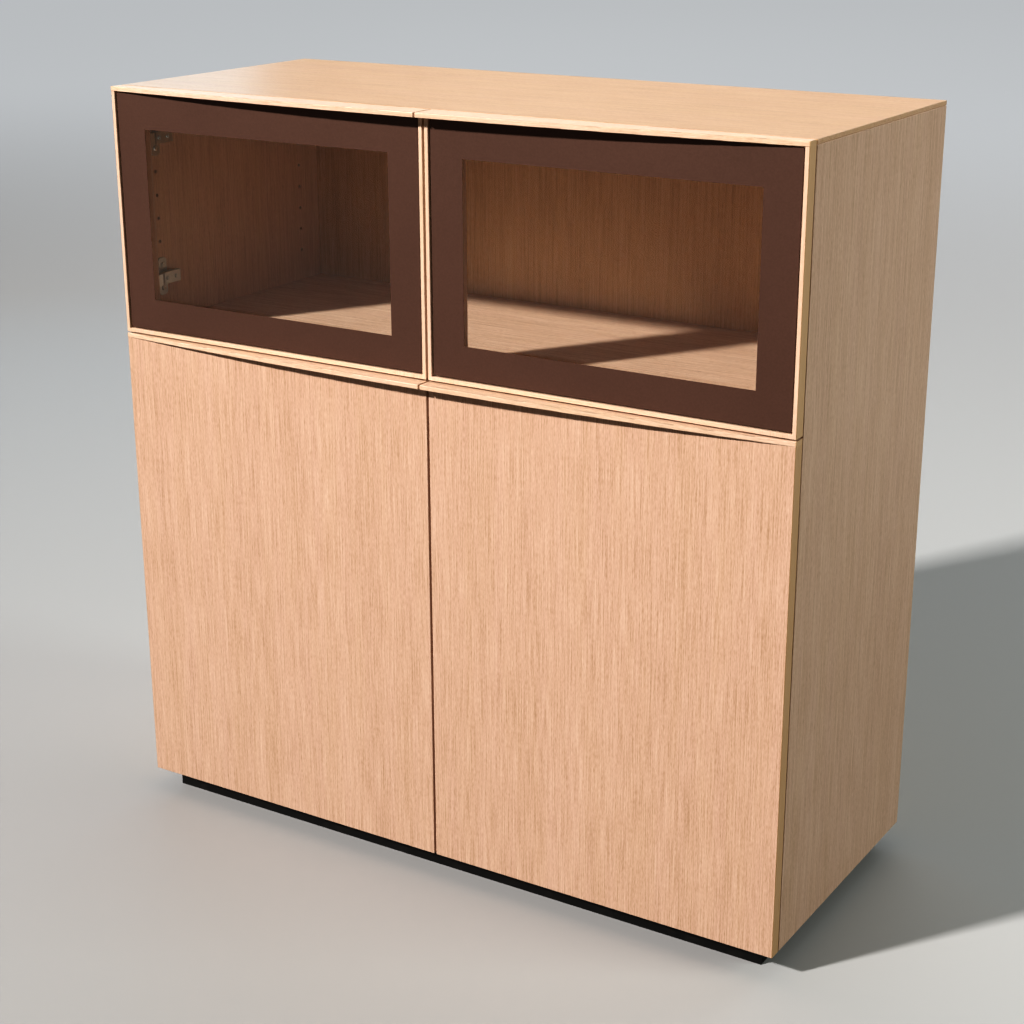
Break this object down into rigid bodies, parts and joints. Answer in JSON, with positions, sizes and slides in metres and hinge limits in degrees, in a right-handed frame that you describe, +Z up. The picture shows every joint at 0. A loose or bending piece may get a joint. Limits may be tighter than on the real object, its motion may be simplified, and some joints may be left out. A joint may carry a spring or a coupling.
{
  "type": "kitchen cabinet",
  "caption": "Kitchen cupboard in oak veneer with a glazed upper compartment, closed lower cupboard, overlay doors with bowed pulls and a recessed plinth.",
  "frame": {"origin": "centre of the bounding box at floor level, under the middle of the cabinet, bowed pulls included", "axes": "+Z up, doors face -Y, +X to the right of someone facing the doors"},
  "size_m": [1, 0.436, 1.028],
  "materials": {
    "oak_veneer": "straight-grain oak veneer, satin",
    "oak_pull": "solid oak, satin",
    "oak_frame": "solid oak, satin",
    "clear_glass": "polished float glass",
    "brown_print": "matt brown print",
    "black_plinth": "matt black laminate",
    "hinge_steel": "nickel-plated pressed steel",
    "screw_steel": "plated steel",
    "beech_dowel": "plain turned beech",
    "clear_bumper": "translucent silicone"
  },
  "bodies": {
    "cabinet": {"left_side_panel": "oak_veneer", "right_side_panel": "oak_veneer", "top_panel": "oak_veneer", "middle_deck": "oak_veneer", "bottom_panel": "oak_veneer", "centre_partition": "oak_veneer", "upper_back_panel": "oak_veneer", "lower_back_panel": "oak_veneer", "left_shelf": "oak_veneer", "right_shelf": "oak_veneer", "shelf_pins": "screw_steel", "carcass_dowels": "beech_dowel", "back_panel_screws": "screw_steel", "plinth_front_rail": "black_plinth", "plinth_back_rail": "black_plinth", "plinth_left_rail": "black_plinth", "plinth_right_rail": "black_plinth", "plinth_cross_rail": "black_plinth", "upper_hinge_plates": "hinge_steel", "upper_hinge_arms": "hinge_steel", "lower_hinge_plates": "hinge_steel", "lower_hinge_arms": "hinge_steel", "hinge_plate_screws": "screw_steel"},
    "upper_left_hinge_link": {"upper_left_hinge_links": "hinge_steel"},
    "upper_left_door": {"upper_left_hinge_cups": "hinge_steel", "upper_left_cup_screws": "screw_steel", "upper_left_pull": "oak_pull", "upper_left_bumpers": "clear_bumper", "upper_left_hinge_stile": "oak_frame", "upper_left_meeting_stile": "oak_frame", "upper_left_bottom_rail": "oak_frame", "upper_left_top_rail": "oak_frame", "upper_left_frame_dowels": "beech_dowel", "upper_left_glass": "clear_glass", "upper_left_glass_border": "brown_print"},
    "upper_right_hinge_link": {"upper_right_hinge_links": "hinge_steel"},
    "upper_right_door": {"upper_right_hinge_cups": "hinge_steel", "upper_right_cup_screws": "screw_steel", "upper_right_pull": "oak_pull", "upper_right_bumpers": "clear_bumper", "upper_right_hinge_stile": "oak_frame", "upper_right_meeting_stile": "oak_frame", "upper_right_bottom_rail": "oak_frame", "upper_right_top_rail": "oak_frame", "upper_right_frame_dowels": "beech_dowel", "upper_right_glass": "clear_glass", "upper_right_glass_border": "brown_print"},
    "lower_left_hinge_link": {"lower_left_hinge_links": "hinge_steel"},
    "lower_left_door": {"lower_left_hinge_cups": "hinge_steel", "lower_left_cup_screws": "screw_steel", "lower_left_pull": "oak_pull", "lower_left_bumpers": "clear_bumper", "lower_left_door_panel": "oak_veneer"},
    "lower_right_hinge_link": {"lower_right_hinge_links": "hinge_steel"},
    "lower_right_door": {"lower_right_hinge_cups": "hinge_steel", "lower_right_cup_screws": "screw_steel", "lower_right_pull": "oak_pull", "lower_right_bumpers": "clear_bumper", "lower_right_door_panel": "oak_veneer"}
  },
  "joints": [
    {"name": "upper_left_link_turn", "type": "hinge", "parent": "cabinet", "child": "upper_left_hinge_link", "pos_m": [-0.466, -0.177, 0.861], "axis": [0, 0, 1], "range_deg": [0, 42.75]},
    {"name": "upper_left_door_swing", "type": "hinge", "parent": "upper_left_hinge_link", "child": "upper_left_door", "pos_m": [-0.489, -0.1855, 0.861], "axis": [0, 0, -1], "range_deg": [0, 137.75]},
    {"name": "upper_right_link_turn", "type": "hinge", "parent": "cabinet", "child": "upper_right_hinge_link", "pos_m": [0.466, -0.177, 0.861], "axis": [0, 0, -1], "range_deg": [0, 42.75]},
    {"name": "upper_right_door_swing", "type": "hinge", "parent": "upper_right_hinge_link", "child": "upper_right_door", "pos_m": [0.489, -0.1855, 0.861], "axis": [0, 0, 1], "range_deg": [0, 137.75]},
    {"name": "lower_left_link_turn", "type": "hinge", "parent": "cabinet", "child": "lower_left_hinge_link", "pos_m": [-0.466, -0.177, 0.362], "axis": [0, 0, 1], "range_deg": [0, 42.75]},
    {"name": "lower_left_door_swing", "type": "hinge", "parent": "lower_left_hinge_link", "child": "lower_left_door", "pos_m": [-0.489, -0.1855, 0.362], "axis": [0, 0, -1], "range_deg": [0, 137.75]},
    {"name": "lower_right_link_turn", "type": "hinge", "parent": "cabinet", "child": "lower_right_hinge_link", "pos_m": [0.466, -0.177, 0.362], "axis": [0, 0, -1], "range_deg": [0, 42.75]},
    {"name": "lower_right_door_swing", "type": "hinge", "parent": "lower_right_hinge_link", "child": "lower_right_door", "pos_m": [0.489, -0.1855, 0.362], "axis": [0, 0, 1], "range_deg": [0, 137.75]}
  ],
  "couplings": [
    {"joint": "upper_left_link_turn", "follows": "upper_left_door_swing", "ratio": 0.31034},
    {"joint": "upper_right_link_turn", "follows": "upper_right_door_swing", "ratio": 0.31034},
    {"joint": "lower_left_link_turn", "follows": "lower_left_door_swing", "ratio": 0.31034},
    {"joint": "lower_right_link_turn", "follows": "lower_right_door_swing", "ratio": 0.31034}
  ]
}
